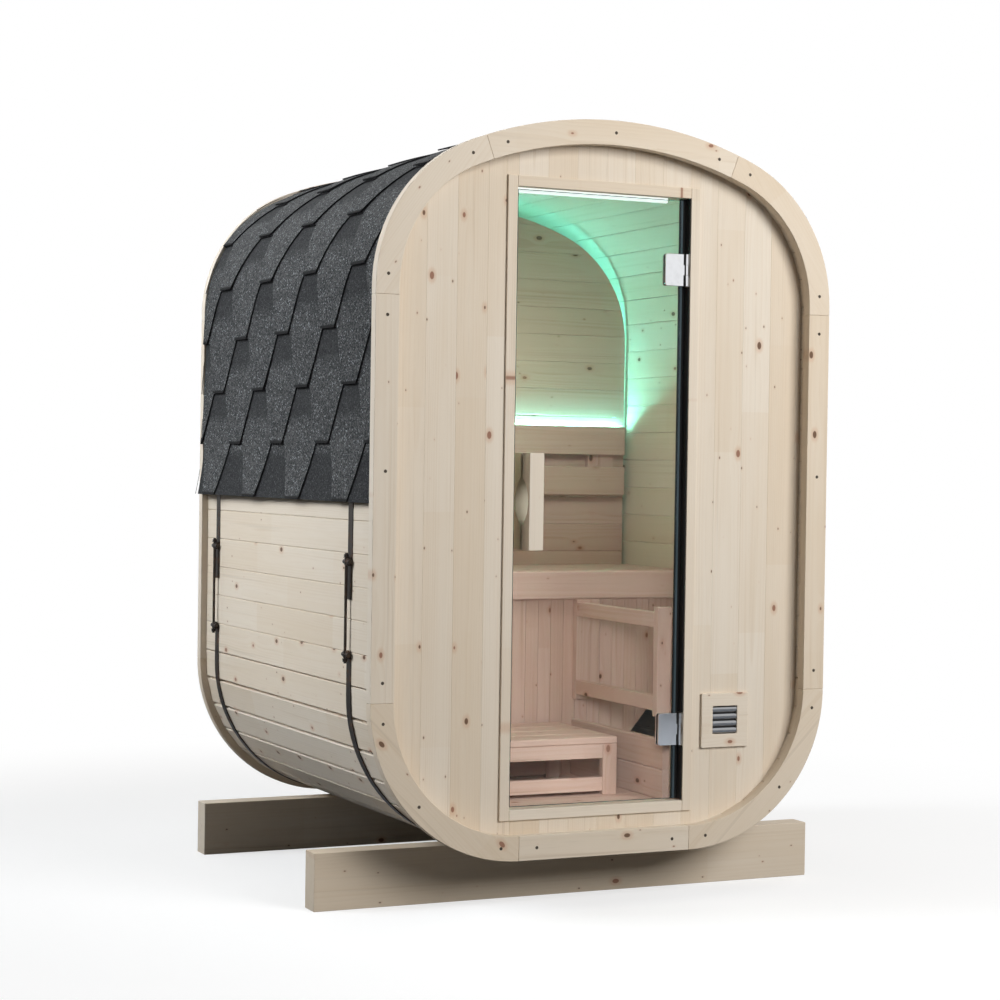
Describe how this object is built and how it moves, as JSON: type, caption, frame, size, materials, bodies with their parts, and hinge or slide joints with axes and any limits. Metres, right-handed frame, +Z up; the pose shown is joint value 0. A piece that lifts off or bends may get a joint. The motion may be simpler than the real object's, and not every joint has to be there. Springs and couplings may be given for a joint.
{
  "type": "outdoor sauna",
  "caption": "Small outdoor sauna: a stave barrel of flattened outline on two ground beams, with end rings, a shingled crown, a hinged glass door, bench, step stool and heater guard.",
  "frame": {"origin": "on the ground under the middle of the barrel", "axes": "+X to the right of the doorway, +Y towards the rear wall, +Z up; the door faces -Y"},
  "size_m": [1.533, 1.45, 2.1199],
  "materials": {
    "spruce": "planed, untreated",
    "inner_spruce": "planed, untreated",
    "polished_steel": "polished",
    "hoop_steel": "dark, oiled",
    "shingle": "mineral granules on bitumen",
    "door_glass": "clear, polished edges",
    "light_strip": "lit"
  },
  "bodies": {
    "barrel": {"ground_beams": "spruce", "floor_staves": "spruce", "lower_corner_staves": "spruce", "side_staves": "spruce", "upper_corner_staves": "spruce", "crown_staves": "spruce", "ring_crowns": "spruce", "ring_upper_corners": "spruce", "ring_sides": "spruce", "ring_lower_corners": "spruce", "ring_bottoms": "spruce", "front_wall_left": "spruce", "front_wall_right": "spruce", "front_wall_over_door": "spruce", "front_wall_under_door": "spruce", "rear_wall": "spruce", "door_frame_jambs": "spruce", "door_frame_rails": "spruce", "vent_frame": "spruce", "floor_deck": "inner_spruce", "floor_bearers": "inner_spruce", "lining_panel": "inner_spruce", "lining_cleats": "inner_spruce", "bench_seat": "inner_spruce", "bench_apron": "inner_spruce", "bench_skirt": "inner_spruce", "bench_ledger": "inner_spruce", "backrest_slats": "inner_spruce", "backrest_battens": "inner_spruce", "guard_rails": "inner_spruce", "guard_posts": "inner_spruce", "kick_board": "inner_spruce", "stool_top": "inner_spruce", "stool_legs": "inner_spruce", "stool_rails": "inner_spruce", "hinge_leaves": "polished_steel", "vent_louvre": "polished_steel", "hoop_bands": "hoop_steel", "hoop_tensioners": "hoop_steel", "roofing": "shingle", "light_strips": "light_strip"},
    "door": {"door_glass": "door_glass", "door_handles": "spruce", "hinge_clamps": "polished_steel"}
  },
  "joints": [
    {"name": "door_hinge", "type": "hinge", "parent": "barrel", "child": "door", "pos_m": [0.254, -0.6705, 0.462], "axis": [0, 0, 1], "range_deg": [0, 100]}
  ]
}
